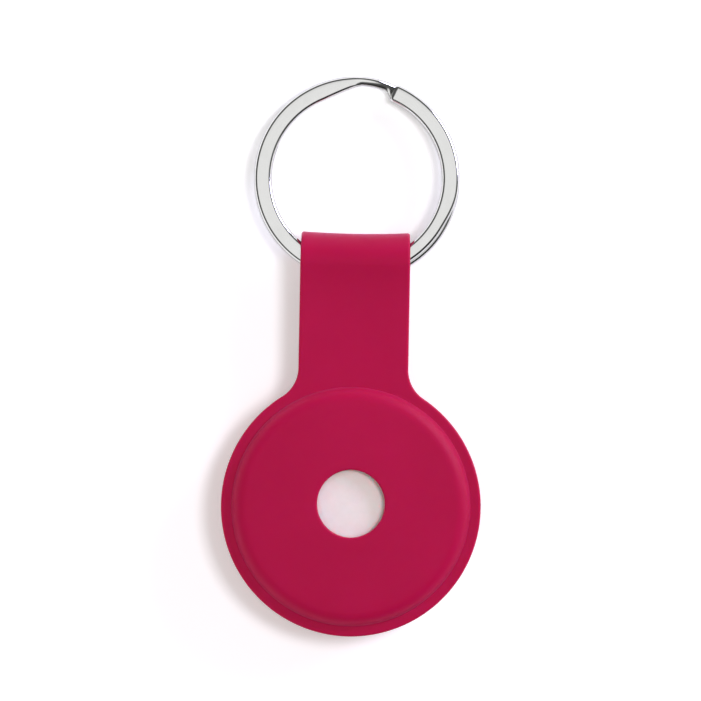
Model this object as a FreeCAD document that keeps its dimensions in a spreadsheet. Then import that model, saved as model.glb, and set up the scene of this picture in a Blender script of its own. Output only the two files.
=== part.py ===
"""Silicone tracker tag holder: two cupped leaves folded over a split key ring, with a coin tracker inside.

Millimetres. The holder lies on its back: the rear leaf's flat face is on Z = 0 under the origin, the
front leaf looks up +Z, and the strap runs along +Y to the ring.
"""
import FreeCAD, Part
import math
import os
import re

import Sketcher

# Driving dimensions, in millimetres unless the name says degrees.
DIMENSIONS = {
    # Tracker that the pocket is moulded for
    "tag_diameter": 31.9,
    "tag_below": 3.7,
    "tag_above": 4.3,
    "tag_play": 0.2,
    "tag_headroom": 0.4,
    "tag_seat": 0.1,
    # Silicone leaves
    "sheet": 1.2,
    "dome_wall": 1.25,
    "flange_ledge": 1.5,
    "flange_raise": 2.4,
    "front_draft": 0.6,
    "rear_draft": 0.2,
    "crown_rise": 0.6,
    "shoulder_round": 2.3,
    "rear_shoulder_round": 2.8,
    "front_pocket_round": 1.1,
    "rear_pocket_round": 1.6,
    "front_hole_diameter": 9.8,
    "front_hole_shift": 0.45,
    "rear_hole_diameter": 12.0,
    "edge_round": 0.35,
    # Closing bead on the rear leaf, and its groove in the front leaf
    "bead_round": 0.45,
    "bead_play": 0.15,
    # Strap and the loop that it makes round the ring
    "strap_width": 16.0,
    "strap_length": 21.05,
    "front_flat": 10.0,
    "rear_flat": 3.4,
    "front_rise": 0.6,
    "neck_round": 3.8,
    "loop_play": 0.06,
    "bend_gap": 0.05,
    # Split ring
    "ring_diameter": 30.0,
    "ring_band": 2.6,
    "strip_thickness": 1.05,
    "turn_gap": 0.42,
    "strip_round": 0.3,
    "joggle_band": 2.0,
    "free_end_degrees": 68.0,
    "upper_turn_degrees": 334.0,
    "lower_turn_degrees": 273.0,
    "joggle_degrees": 24.0,
    # Tracker cap and chassis
    "cap_wall": 1.0,
    "cap_flat": 0.3,
    "cap_lip": 1.0,
    "chassis_round": 3.5,
    "chassis_floor": 0.6,
    "spigot_play": 0.1,
    # Battery cover with its bayonet
    "cover_inset": 2.95,
    "cover_plate": 0.5,
    "cover_gap": 0.15,
    "skirt_inset": 1.2,
    "skirt_wall": 0.5,
    "tab_reach": 0.8,
    "tab_height": 0.6,
    "tab_play": 0.15,
    "lip_height": 0.8,
    "tab_degrees": 24.0,
    "notch_degrees": 30.0,
    "lock_degrees": 40.0,
    # Coin cell
    "cell_room": 1.3,
    "cell_height": 3.2,
    "cell_can_wall": 0.3,
    "cell_gasket_wall": 0.35,
    "cell_cap_rise": 0.3,
    "cell_seat": 0.05,
    # Electronics
    "board_thickness": 0.8,
    "board_seat": 0.05,
    "board_edge_play": 1.0,
    "coil_play": 0.3,
    "magnet_diameter": 9.0,
    "magnet_height": 1.7,
    "coil_wall": 0.6,
    "coil_seat": 0.1,
    "coil_height": 1.9,
    "chip_length": 4.4,
    "chip_width": 3.2,
    "chip_height": 0.7,
    "finger_width": 2.4,
    "finger_thickness": 0.15,
    "finger_length": 6.0,
    # Run of a cut past the face that it opens
    "overrun": 2.0,
}
BAYONET_COUNT = 3
CHIP_NAMES = ("tag_radio_chip", "tag_motion_chip", "tag_sound_chip")
FINGER_NAMES = ("tag_positive_contact_right", "tag_positive_contact_left")

# Sizes and places that follow from the driving dimensions. Heights are above the floor.
DERIVED = {
    "parting": "sheet + tag_seat + tag_below",
    "tag_base": "sheet + tag_seat",
    "leaf_parting": "parting + flange_raise",
    "front_top": "parting + tag_above + tag_headroom + sheet",
    # Leaves
    "pocket_radius": "tag_diameter / 2 + tag_play",
    "dome_radius": "pocket_radius + dome_wall",
    "flange_radius": "dome_radius + flange_ledge",
    "bead_radius": "(pocket_radius + flange_radius) / 2",
    "neck_y": "sqrt(flange_radius ^ 2 - (strap_width / 2) ^ 2)",
    # How near an edge lies to the place where it is looked for
    "near": "edge_round / 10",
    # Ring, where the strap crosses it
    "ring_thickness": "2 * strip_thickness + turn_gap",
    "ring_bore": "ring_diameter / 2 - ring_band",
    "ring_chord": "sqrt(ring_bore ^ 2 - (strap_width / 2) ^ 2)",
    "ring_offset": "(ring_diameter / 2 + ring_chord) / 2",
    "ring_half_spread": "(ring_diameter / 2 - ring_chord) / 2",
    # Loop round the ring, a little higher than the front strap at its crest
    "loop_bore": "sqrt(ring_half_spread ^ 2 + (ring_thickness / 2) ^ 2) + loop_play",
    "loop_outer": "loop_bore + sheet",
    "fold_reach": "flange_radius + strap_length",
    "loop_y": "fold_reach - loop_outer",
    "loop_drop": "loop_bore - front_rise",
    "loop_z": "leaf_parting - loop_drop",
    # Sweep of each strap from its flat to the loop, which it meets at a lean
    "front_flat_end": "flange_radius + front_flat",
    "front_span": "loop_y - front_flat_end",
    "front_sweep": "(front_span ^ 2 / front_rise - loop_bore - loop_drop - 2 * sheet) / 2",
    "front_lean_share": "front_span / (loop_outer + front_sweep)",
    "front_lift_share": "(loop_drop + sheet + front_sweep) / (loop_outer + front_sweep)",
    "rear_flat_end": "flange_radius + rear_flat",
    "rear_span": "loop_y - rear_flat_end",
    "rear_sweep": "(rear_span ^ 2 / (loop_bore + loop_drop) - loop_bore + loop_drop - 2 * sheet) / 2",
    "rear_lean_share": "rear_span / (loop_outer + rear_sweep)",
    "rear_lift_share": "(sheet + rear_sweep - loop_drop) / (loop_outer + rear_sweep)",
    # End of the front strap, a bend gap short of the loop
    "bend_share": "bend_gap / front_sweep",
    "end_lean_share": "(front_lean_share - front_lift_share * bend_share) / sqrt(1 + bend_share ^ 2)",
    "end_lift_share": "(front_lift_share + front_lean_share * bend_share) / sqrt(1 + bend_share ^ 2)",
    # Tracker
    "cap_bore": "tag_diameter / 2 - cap_wall",
    "cap_rim": "parting + tag_above - crown_rise",
    "cap_round": "tag_above - crown_rise - cap_flat",
    "cap_underside": "parting + tag_above - cap_wall",
    "spigot_radius": "cap_bore - spigot_play",
    "floor_top": "parting + cap_lip",
    "floor_underside": "floor_top - chassis_floor",
    "cover_radius": "tag_diameter / 2 - cover_inset",
    "cover_top": "tag_base + cover_plate",
    "skirt_radius": "cover_radius - skirt_inset",
    "skirt_bore": "skirt_radius - skirt_wall",
    "lip_base": "cover_top + tab_play",
    "lip_top": "lip_base + lip_height",
    "tab_base": "lip_top + tab_play",
    "tab_top": "tab_base + tab_height",
    "well_radius": "skirt_radius + tab_reach + tab_play",
    "cell_radius": "skirt_bore - cell_room",
    "cell_base": "cover_top + cell_seat",
    "cell_top": "cell_base + cell_height",
    "cell_rim": "cell_top - cell_cap_rise",
    "cell_floor": "cell_base + cell_can_wall",
    "cell_bore": "cell_radius - cell_can_wall",
    "cell_cap_radius": "cell_bore - cell_gasket_wall",
    "coil_bore": "magnet_diameter / 2 + coil_play",
    "coil_top": "cap_underside - coil_seat",
    "board_bore": "coil_bore + coil_wall + coil_play",
    "board_radius": "cap_bore - board_edge_play",
    "board_base": "floor_top + board_seat",
    "board_top": "board_base + board_thickness",
    "chip_middle": "(board_bore + board_radius) / 2",
    "contact_sag": "floor_underside - cell_top - finger_thickness - cell_seat",
    "finger_inside": "cell_radius + cell_seat",
    "finger_outside": "finger_inside + finger_thickness",
}

doc = FreeCAD.newDocument("tracker_tag_holder")
sizes = doc.addObject("Spreadsheet::Sheet", "Sizes")
cells = {name: str(value) for name, value in DIMENSIONS.items()}
cells.update({name: f"={formula}" for name, formula in DERIVED.items()})
for row, name in enumerate(cells, start=1):
    sizes.set(f"A{row}", name)
    sizes.setAlias(f"B{row}", name)
for row, content in enumerate(cells.values(), start=1):
    sizes.set(f"B{row}", content)
doc.recompute()


def size(expression):
    """The value of a sum of named sizes."""
    return float(sizes.evalExpression(expression))


def tied(expression):
    """The same sum, written so that another object can be bound to the sheet's cells."""
    return re.sub(r"[a-z_]+", lambda m: f"Sizes.{m[0]}" if m[0] in cells else m[0], expression)


def bind(feature, **properties):
    """Tie properties of a feature to sums of named sizes."""
    for name, expression in properties.items():
        feature.setExpression(name, tied(expression))


def new_body(label):
    body = doc.addObject("PartDesign::Body", label)
    body.Label = label
    return body


def new_sketch(body, name, plane, lift="0", turn_degrees=0.0):
    """A sketch on one of the body's origin planes, lifted along its normal or turned about its upright."""
    sketch = body.newObject("Sketcher::SketchObject", name)
    support = next(item for item in body.Origin.OriginFeatures if item.Role == plane)
    sketch.AttachmentSupport = [(support, "")]
    sketch.MapMode = "FlatFace"
    turn = FreeCAD.Rotation(FreeCAD.Vector(0, 1, 0), turn_degrees)
    sketch.AttachmentOffset = FreeCAD.Placement(FreeCAD.Vector(0, 0, size(lift)), turn)
    bind(sketch, **{"AttachmentOffset.Base.z": lift})
    return sketch


def arc_between(start, end, radius, side):
    """The shorter arc between two points, with its centre on the left (side 1) or right (side -1)."""
    half = (end - start) * 0.5
    across = FreeCAD.Vector(-half.y, half.x, 0).normalize()
    centre = start + half + across * side * math.sqrt(max(radius**2 - half.Length**2, 0.0))
    first, last = (start, end) if side > 0 else (end, start)
    angles = [math.atan2(point.y - centre.y, point.x - centre.x) for point in (first, last)]
    return Part.ArcOfCircle(Part.Circle(centre, FreeCAD.Vector(0, 0, 1), radius), *angles)


def tie_constraint(sketch, constraint, expression):
    number = sketch.addConstraint(constraint)
    sketch.setExpression(f"Constraints[{number}]", tied(expression))


def draw_outline(sketch, corners):
    """Close an outline through corners (across, up), or (across, up, radius, side) where an arc starts."""
    points = [FreeCAD.Vector(size(corner[0]), size(corner[1]), 0) for corner in corners]
    lines = []
    for index, corner in enumerate(corners):
        start = points[index]
        end = points[(index + 1) % len(points)]
        if len(corner) == 2:
            lines.append(sketch.addGeometry(Part.LineSegment(start, end)))
        else:
            lines.append(sketch.addGeometry(arc_between(start, end, size(corner[2]), corner[3])))
    ends = [(2, 1) if corner[3:] == (-1,) else (1, 2) for corner in corners]
    for index, line in enumerate(lines):
        following = (index + 1) % len(lines)
        joined = (line, ends[index][1], lines[following], ends[following][0])
        sketch.addConstraint(Sketcher.Constraint("Coincident", *joined))
    for line, end, point, corner in zip(lines, ends, points, corners):
        first = (-1, 1, line, end[0])
        tie_constraint(sketch, Sketcher.Constraint("DistanceX", *first, point.x), corner[0])
        tie_constraint(sketch, Sketcher.Constraint("DistanceY", *first, point.y), corner[1])
        if len(corner) > 2:
            tie_constraint(sketch, Sketcher.Constraint("Radius", line, size(corner[2])), corner[2])
    return sketch


def draw_circle(sketch, across, up, radius):
    centre = FreeCAD.Vector(size(across), size(up), 0)
    circle = sketch.addGeometry(Part.Circle(centre, FreeCAD.Vector(0, 0, 1), size(radius)))
    tie_constraint(sketch, Sketcher.Constraint("DistanceX", -1, 1, circle, 3, centre.x), across)
    tie_constraint(sketch, Sketcher.Constraint("DistanceY", -1, 1, circle, 3, centre.y), up)
    tie_constraint(sketch, Sketcher.Constraint("Radius", circle, size(radius)), radius)
    return sketch


def add_pad(body, name, sketch, length, both_ways=False):
    pad = body.newObject("PartDesign::Pad", name)
    pad.Profile = sketch
    if both_ways:
        pad.SideType = "Symmetric"
    bind(pad, Length=length)
    doc.recompute()
    return pad


def add_turned(body, kind, name, sketch, angle_degrees="360", both_ways=False):
    """A Revolution or a Groove about the upright axis of its sketch."""
    turned = body.newObject(f"PartDesign::{kind}", name)
    turned.Profile = sketch
    turned.ReferenceAxis = (sketch, ["V_Axis"])
    turned.Midplane = both_ways
    bind(turned, Angle=angle_degrees)
    doc.recompute()
    return turned


def add_through_hole(body, name, sketch):
    pocket = body.newObject("PartDesign::Pocket", name)
    pocket.Profile = sketch
    pocket.Type = "ThroughAll"
    pocket.SideType = "Symmetric"
    doc.recompute()
    check_cut(pocket)


def add_groove(body, name, sketch, angle_degrees="360", both_ways=False):
    groove = add_turned(body, "Groove", name, sketch, angle_degrees, both_ways)
    check_cut(groove)
    return groove


def check_cut(feature):
    """Check that a cut took material away."""
    if feature.Shape.Volume >= feature.BaseFeature.Shape.Volume:
        raise RuntimeError(f"{feature.Label} cut nothing")


def add_polar(body, name, original, count):
    pattern = body.newObject("PartDesign::PolarPattern", name)
    pattern.Originals = [original]
    upright = next(item for item in body.Origin.OriginFeatures if item.Role == "Z_Axis")
    pattern.Axis = (upright, [""])
    pattern.Angle = 360.0
    pattern.Occurrences = count
    body.Tip = pattern
    doc.recompute()


def add_fillet(body, name, chosen, radius):
    """Round the edges of the body's tip that the chosen test picks."""
    base = body.Tip
    names = [f"Edge{number}" for number, edge in enumerate(base.Shape.Edges, start=1) if chosen(edge)]
    if not names:
        raise RuntimeError(f"{body.Label}: no edge for {name}")
    fillet = body.newObject("PartDesign::Fillet", name)
    fillet.Base = (base, names)
    bind(fillet, Radius=radius)
    doc.recompute()


def circle_at(radius, height):
    """A test for edges that are level circles, or parts of one, round the upright axis."""
    def chosen(edge):
        if edge.Degenerated or not isinstance(edge.Curve, Part.Circle):
            return False
        centre = edge.Curve.Center
        same_radius = abs(edge.Curve.Radius - size(radius)) < size("near")
        same_height = abs(centre.z - size(height)) < size("near")
        return same_radius and same_height and math.hypot(centre.x, centre.y) < size("near")

    return chosen


def level(side, expression):
    """A height above (side 1) or below (side -1) the plane where the two leaves meet."""
    return f"(leaf_parting + {side} * ({expression}))"


def seam_corners(name, side):
    """Where a leaf's strap meets the loop: the inner and the outer point of their seam."""
    return [
        (f"loop_y - {radius} * {name}_lean_share", f"loop_z + {side} * {radius} * {name}_lift_share")
        for radius in ("loop_bore", "loop_outer")
    ]


def front_strap_outline():
    """Side view of the front strap: flat from the neck, then sweeping up until just short of the loop."""
    return [
        ("tag_diameter / 2", "leaf_parting"),
        ("front_flat_end", "leaf_parting", "front_sweep + sheet", 1),
        (
            "front_flat_end + (front_sweep + sheet) * end_lean_share",
            level(1, "(front_sweep + sheet) * (1 - end_lift_share)"),
        ),
        (
            "front_flat_end + front_sweep * end_lean_share",
            level(1, "sheet + front_sweep * (1 - end_lift_share)"),
            "front_sweep",
            -1,
        ),
        ("front_flat_end", level(1, "sheet")),
        ("tag_diameter / 2", level(1, "sheet")),
    ]


def rear_strap_outline():
    """Side view of the rear strap, sweeping down to the loop that wraps the ring and ends on the front."""
    rear_inner, rear_outer = seam_corners("rear", -1)
    front_inner, front_outer = seam_corners("front", 1)
    return [
        ("tag_diameter / 2", "leaf_parting"),
        ("rear_flat_end", "leaf_parting", "rear_sweep + sheet", -1),
        (*rear_inner, "loop_bore", 1),
        ("loop_y + loop_bore", "loop_z", "loop_bore", 1),
        front_inner,
        (*front_outer, "loop_outer", -1),
        ("fold_reach", "loop_z", "loop_outer", -1),
        (*rear_outer, "rear_sweep", 1),
        ("rear_flat_end", level(-1, "sheet")),
        ("tag_diameter / 2", level(-1, "sheet")),
    ]


def leaf_sheet(body, side, strap_outline):
    """The flat of a leaf: round flange and strap, joined by the neck's hollow rounds."""
    flange_sketch = new_sketch(body, "FlangeOutline", "XY_Plane", "leaf_parting")
    flange = add_pad(body, "Flange", draw_circle(flange_sketch, "0", "0", "flange_radius"), "sheet")
    flange.Reversed = side < 0
    strap_sketch = new_sketch(body, "StrapSide", "YZ_Plane")
    add_pad(body, "Strap", draw_outline(strap_sketch, strap_outline), "strap_width", True)

    def at_neck(edge):
        ends = [vertex.Point for vertex in edge.Vertexes]
        return len(ends) == 2 and all(
            abs(abs(end.x) - size("strap_width / 2")) < size("near")
            and abs(end.y - size("neck_y")) < size("near")
            for end in ends
        )

    add_fillet(body, "Neck", at_neck, "neck_round")


def round_rim(body, name, side):
    """Soften the outer edges of a leaf's flange, neck, strap and loop."""
    face_height = size(level(side, "sheet"))
    ledge_middle = size("(dome_radius + flange_radius) / 2")
    sweep_radius = size(f"{name}_sweep")
    sweep = FreeCAD.Vector(0, size(f"{name}_flat_end"), face_height + side * sweep_radius)
    loop = FreeCAD.Vector(0, size("loop_y"), size("loop_z"))

    def on_rim(edge):
        middle = edge.valueAt((edge.FirstParameter + edge.LastParameter) / 2)
        if abs(middle.z - face_height) < size("near"):
            return math.hypot(middle.x, middle.y) > ledge_middle
        if abs(abs(middle.x) - size("strap_width / 2")) > size("near"):
            return False
        middle.x = 0
        on_loop = abs((middle - loop).Length - size("loop_outer")) < size("near")
        return on_loop or abs((middle - sweep).Length - sweep_radius) < size("near")

    add_fillet(body, "Rim", on_rim, "edge_round")


def cut_pocket(body, name, side, corners, corner_height):
    """Hollow a leaf for the tracker, open towards the other leaf, with a round at the pocket's end."""
    mouth = level(-side, "overrun")
    outline = [("0", mouth), ("pocket_radius", mouth), *corners]
    add_groove(body, "TagPocket", draw_outline(new_sketch(body, "PocketHalf", "YZ_Plane"), outline))
    add_fillet(body, "PocketCorner", circle_at("pocket_radius", corner_height), f"{name}_pocket_round")


def cut_hole(body, name, diameter, towards_strap="0"):
    sketch = new_sketch(body, f"{name}Outline", "XY_Plane", "leaf_parting")
    add_through_hole(body, name, draw_circle(sketch, "0", towards_strap, f"{diameter} / 2"))


def make_front_leaf():
    """Front cup, shallow as a lid, with the round window and the strap that runs up to the loop."""
    body = new_body("front_leaf")
    leaf_sheet(body, 1, front_strap_outline())
    wall_top = "(dome_radius - front_draft)"
    shoulder = "(front_top - crown_rise)"
    crown = f"({wall_top} ^ 2 + crown_rise ^ 2) / (2 * crown_rise)"
    dome = [
        ("0", "leaf_parting"),
        ("dome_radius", "leaf_parting"),
        ("dome_radius", level(1, "sheet")),
        (wall_top, shoulder, crown, 1),
        ("0", "front_top"),
    ]
    add_turned(body, "Revolution", "Dome", draw_outline(new_sketch(body, "DomeHalf", "YZ_Plane"), dome))
    add_fillet(body, "Shoulder", circle_at(wall_top, shoulder), "shoulder_round")
    ceiling = f"{shoulder} - sheet"
    inside_crown = "(pocket_radius ^ 2 + crown_rise ^ 2) / (2 * crown_rise)"
    corners = [("pocket_radius", ceiling, inside_crown, 1), ("0", "front_top - sheet")]
    cut_pocket(body, "front", 1, corners, ceiling)
    groove_sketch = new_sketch(body, "BeadGroove", "YZ_Plane")
    groove = draw_circle(groove_sketch, "bead_radius", "leaf_parting", "bead_round + bead_play")
    add_groove(body, "BeadChannel", groove)
    cut_hole(body, "Window", "front_hole_diameter", "front_hole_shift")
    round_rim(body, "front", 1)
    return body


def make_rear_leaf():
    """Rear cup with its flat back and push-out hole, the strap, and the loop round the ring."""
    body = new_body("rear_leaf")
    leaf_sheet(body, -1, rear_strap_outline())
    back_radius = "(dome_radius - rear_draft)"
    dome = [("0", "leaf_parting"), ("dome_radius", "leaf_parting"), (back_radius, "0"), ("0", "0")]
    add_turned(body, "Revolution", "Dome", draw_outline(new_sketch(body, "DomeHalf", "YZ_Plane"), dome))
    add_fillet(body, "Shoulder", circle_at(back_radius, "0"), "rear_shoulder_round")
    cut_pocket(body, "rear", -1, [("pocket_radius", "sheet"), ("0", "sheet")], "sheet")
    bead_sketch = new_sketch(body, "BeadSection", "YZ_Plane")
    bead = draw_circle(bead_sketch, "bead_radius", "leaf_parting", "bead_round")
    add_turned(body, "Revolution", "Bead", bead)
    cut_hole(body, "PushOutHole", "rear_hole_diameter")
    round_rim(body, "rear", -1)
    return body


def strip_section(sketch, height, band):
    """Cross-section of the ring's flat strip, with rounded edges, on the ring's mean radius."""
    middle = "(ring_diameter / 2 - ring_band / 2)"
    left, right = f"{middle} - {band} / 2", f"{middle} + {band} / 2"
    low, high = f"{height} - strip_thickness / 2", f"{height} + strip_thickness / 2"
    return draw_outline(sketch, [
        (f"{left} + strip_round", low),
        (f"{right} - strip_round", low, "strip_round", 1),
        (right, f"{low} + strip_round"),
        (right, f"{high} - strip_round", "strip_round", 1),
        (f"{right} - strip_round", high),
        (f"{left} + strip_round", high, "strip_round", 1),
        (left, f"{high} - strip_round"),
        (left, f"{low} + strip_round", "strip_round", 1),
    ])


def make_split_ring():
    """Two turns of flat strip, stepping from one level to the other at the joggle beside the free end."""
    body = new_body("split_ring")
    upper = "(strip_thickness + turn_gap) / 2"
    lower = f"0 - {upper}"
    joggle_top = size("free_end_degrees + 360 - upper_turn_degrees")
    joggle_foot = joggle_top - size("joggle_degrees")
    lower_start = joggle_foot - size("lower_turn_degrees")

    def section(name, height, band, angle):
        return strip_section(new_sketch(body, name, "XZ_Plane", "0", angle), height, band)

    upper_start = section("UpperStart", upper, "ring_band", joggle_top)
    first = add_turned(body, "Revolution", "UpperTurn", upper_start, "upper_turn_degrees")
    lower_section = section("LowerStart", lower, "ring_band", lower_start)
    second = add_turned(body, "Revolution", "LowerTurn", lower_section, "lower_turn_degrees")
    joggle = body.newObject("PartDesign::AdditiveLoft", "Joggle")
    joggle.Profile = section("JoggleTop", upper, "ring_band", joggle_top)
    joggle.Sections = [
        section("JoggleMiddle", "0", "joggle_band", (joggle_top + joggle_foot) / 2),
        section("JoggleFoot", lower, "ring_band", joggle_foot),
    ]
    doc.recompute()
    gap = first.AddSubShape.distToShape(second.AddSubShape)[0]
    print(f"split ring: least gap between its turns {gap:.2f} mm")
    # The ring hangs from the loop and droops until its far end rests on the floor.
    droop_share = size("(loop_z - ring_thickness / 2) / (ring_offset + ring_diameter / 2)")
    droop = math.asin(droop_share)
    reach = size("ring_offset") * math.cos(droop)
    fall = size("ring_offset") * droop_share
    centre = FreeCAD.Vector(0, size("loop_y") + reach, size("loop_z") - fall)
    tilt = FreeCAD.Rotation(FreeCAD.Vector(1, 0, 0), -math.degrees(droop))
    body.Placement = FreeCAD.Placement(centre, tilt)
    return body


def turned_piece(label, corners):
    """A piece that is one outline turned about the holder's axis."""
    body = new_body(label)
    add_turned(body, "Revolution", "Turned", draw_outline(new_sketch(body, "Half", "YZ_Plane"), corners))
    return body


def turn_about_axis(body, degrees):
    body.Placement = FreeCAD.Placement(FreeCAD.Vector(), FreeCAD.Rotation(FreeCAD.Vector(0, 0, 1), degrees))


def make_tag_cap():
    """White domed cap of the tracker, which is also the speaker's diaphragm."""
    outside = "((tag_diameter / 2) ^ 2 + crown_rise ^ 2) / (2 * crown_rise)"
    inside = "(cap_bore ^ 2 + crown_rise ^ 2) / (2 * crown_rise)"
    inner_corner = "cap_rim - cap_wall"
    body = turned_piece("tag_cap", [
        ("cap_bore", "parting"),
        ("tag_diameter / 2", "parting"),
        ("tag_diameter / 2", "cap_rim", outside, 1),
        ("0", "parting + tag_above"),
        ("0", "cap_underside", inside, -1),
        ("cap_bore", inner_corner),
    ])
    add_fillet(body, "Shoulder", circle_at("tag_diameter / 2", "cap_rim"), "cap_round")
    add_fillet(body, "InnerCorner", circle_at("cap_bore", inner_corner), "cap_round - cap_wall")
    return body


def make_tag_chassis():
    """Lower half of the tracker's case: bayonet lip, battery well, and the floor that carries the board."""
    rim_radius = "(cover_radius + cover_gap)"
    rim_run = f"({rim_radius} - tag_diameter / 2 + chassis_round)"
    body = turned_piece("tag_chassis", [
        (rim_radius, f"parting - sqrt(chassis_round ^ 2 - {rim_run} ^ 2)", "chassis_round", 1),
        ("tag_diameter / 2", "parting"),
        ("spigot_radius", "parting"),
        ("spigot_radius", "floor_top"),
        ("0", "floor_top"),
        ("0", "floor_underside"),
        ("well_radius", "floor_underside"),
        ("well_radius", "lip_top"),
        ("skirt_radius + tab_play", "lip_top"),
        ("skirt_radius + tab_play", "lip_base"),
        (rim_radius, "lip_base"),
    ])
    notch = [
        ("skirt_radius", "tag_base"),
        ("well_radius", "tag_base"),
        ("well_radius", "tab_base"),
        ("skirt_radius", "tab_base"),
    ]
    sketch = new_sketch(body, "NotchSection", "XZ_Plane", "0", -size("lock_degrees"))
    cut = add_groove(body, "EntryNotch", draw_outline(sketch, notch), "notch_degrees", True)
    add_polar(body, "EntryNotches", cut, BAYONET_COUNT)
    return body


def make_battery_cover():
    """Steel back of the tracker: a shallow dish whose skirt carries three bayonet tabs."""
    body = turned_piece("tag_battery_cover", [
        ("0", "tag_base"),
        ("cover_radius", "tag_base"),
        ("cover_radius", "cover_top"),
        ("skirt_radius", "cover_top"),
        ("skirt_radius", "tab_top"),
        ("skirt_bore", "tab_top"),
        ("skirt_bore", "cover_top"),
        ("0", "cover_top"),
    ])
    add_fillet(body, "Edge", circle_at("cover_radius", "tag_base"), "edge_round")
    reach = "skirt_radius + tab_reach"
    tab = [("skirt_bore", "tab_base"), (reach, "tab_base"), (reach, "tab_top"), ("skirt_bore", "tab_top")]
    sketch = draw_outline(new_sketch(body, "TabSection", "XZ_Plane"), tab)
    first = add_turned(body, "Revolution", "Tab", sketch, "tab_degrees", True)
    add_polar(body, "Tabs", first, BAYONET_COUNT)
    return body


def make_coin_cell():
    """Coin cell: steel can, sealing gasket, and the cap that closes it with the charge inside."""
    can = turned_piece("coin_cell_can", [
        ("0", "cell_base"),
        ("cell_radius", "cell_base"),
        ("cell_radius", "cell_rim"),
        ("cell_bore", "cell_rim"),
        ("cell_bore", "cell_floor"),
        ("0", "cell_floor"),
    ])
    add_fillet(can, "Edge", circle_at("cell_radius", "cell_base"), "cell_can_wall")
    gasket = turned_piece("coin_cell_gasket", [
        ("cell_cap_radius", "cell_floor"),
        ("cell_bore", "cell_floor"),
        ("cell_bore", "cell_rim"),
        ("cell_cap_radius", "cell_rim"),
    ])
    cap = turned_piece("coin_cell_cap", [
        ("0", "cell_floor"),
        ("cell_cap_radius", "cell_floor"),
        ("cell_cap_radius", "cell_top"),
        ("0", "cell_top"),
    ])
    return [can, gasket, cap]


def make_circuit_board():
    """Ring-shaped board round the speaker, with its shielded chips spread round it."""
    board = turned_piece("tag_circuit_board", [
        ("board_bore", "board_base"),
        ("board_radius", "board_base"),
        ("board_radius", "board_top"),
        ("board_bore", "board_top"),
    ])
    chips = []
    for number, label in enumerate(CHIP_NAMES):
        chip = new_body(label)
        outline = draw_outline(new_sketch(chip, "ChipOutline", "XY_Plane", "board_top"), [
            ("chip_middle - chip_width / 2", "0 - chip_length / 2"),
            ("chip_middle + chip_width / 2", "0 - chip_length / 2"),
            ("chip_middle + chip_width / 2", "chip_length / 2"),
            ("chip_middle - chip_width / 2", "chip_length / 2"),
        ])
        add_pad(chip, "Chip", outline, "chip_height")
        turn_about_axis(chip, 360.0 * number / len(CHIP_NAMES))
        chips.append(chip)
    return [board, *chips]


def make_speaker():
    """Magnet on the chassis floor, and the voice coil that hangs round it from the cap."""
    magnet = turned_piece("tag_speaker_magnet", [
        ("0", "floor_top"),
        ("magnet_diameter / 2", "floor_top"),
        ("magnet_diameter / 2", "floor_top + magnet_height"),
        ("0", "floor_top + magnet_height"),
    ])
    coil = turned_piece("tag_voice_coil", [
        ("coil_bore", "coil_top - coil_height"),
        ("coil_bore + coil_wall", "coil_top - coil_height"),
        ("coil_bore + coil_wall", "coil_top"),
        ("coil_bore", "coil_top"),
    ])
    return [magnet, coil]


def make_contacts():
    """Bowed leaf that presses on the cell's cap, and two side fingers that touch its can."""
    leaf = new_body("tag_negative_contact")
    half = "finger_length / 2"
    foot = "floor_underside - finger_thickness"
    bow = f"(({half}) ^ 2 + contact_sag ^ 2) / (2 * contact_sag)"
    outline = draw_outline(new_sketch(leaf, "LeafSide", "XZ_Plane"), [
        (f"0 - {half}", foot, bow, 1),
        (half, foot),
        (half, "floor_underside", bow, -1),
        (f"0 - {half}", "floor_underside"),
    ])
    add_pad(leaf, "Leaf", outline, "finger_width", True)
    fingers = []
    for number, label in enumerate(FINGER_NAMES):
        finger = new_body(label)
        side = draw_outline(new_sketch(finger, "FingerSide", "XZ_Plane"), [
            ("finger_inside", "tab_top"),
            ("finger_outside", "tab_top"),
            ("finger_outside", "floor_underside"),
            ("finger_inside", "floor_underside"),
        ])
        add_pad(finger, "Finger", side, "finger_width", True)
        turn_about_axis(finger, 360.0 * number / len(FINGER_NAMES))
        fingers.append(finger)
    return [leaf, *fingers]


PIECES = [
    make_front_leaf(),
    make_rear_leaf(),
    make_split_ring(),
    make_tag_cap(),
    make_tag_chassis(),
    make_battery_cover(),
    *make_coin_cell(),
    *make_circuit_board(),
    *make_speaker(),
    *make_contacts(),
]
doc.recompute()
for item in doc.Objects:
    if "Invalid" in item.State or "Error" in item.State:
        raise RuntimeError(f"{item.Label} failed to build: {item.State}")
for piece in PIECES:
    if piece.Shape.isNull() or not piece.Shape.isValid():
        raise RuntimeError(f"{piece.Label} has no sound shape")

os.makedirs("parts", exist_ok=True)
for piece in PIECES:
    piece.Shape.exportStep(f"parts/{piece.Label}.step")
    print(f"{piece.Label}: {len(piece.Shape.Solids)} solid, {piece.Shape.Volume:.1f} mm3")
bend_y, bend_z = seam_corners("front", 1)[1]
print(f"front leaf bends at y {size(bend_y):.4f}, z {size(bend_z):.4f}")
print(f"ring swings at y {size('loop_y'):.4f}, z {size('loop_z'):.4f}")
print(f"leaves meet at z {size('leaf_parting'):.3f}; front top z {size('front_top'):.3f}")
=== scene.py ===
import math

import bmesh
import bpy
from mathutils import Matrix, Vector


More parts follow.
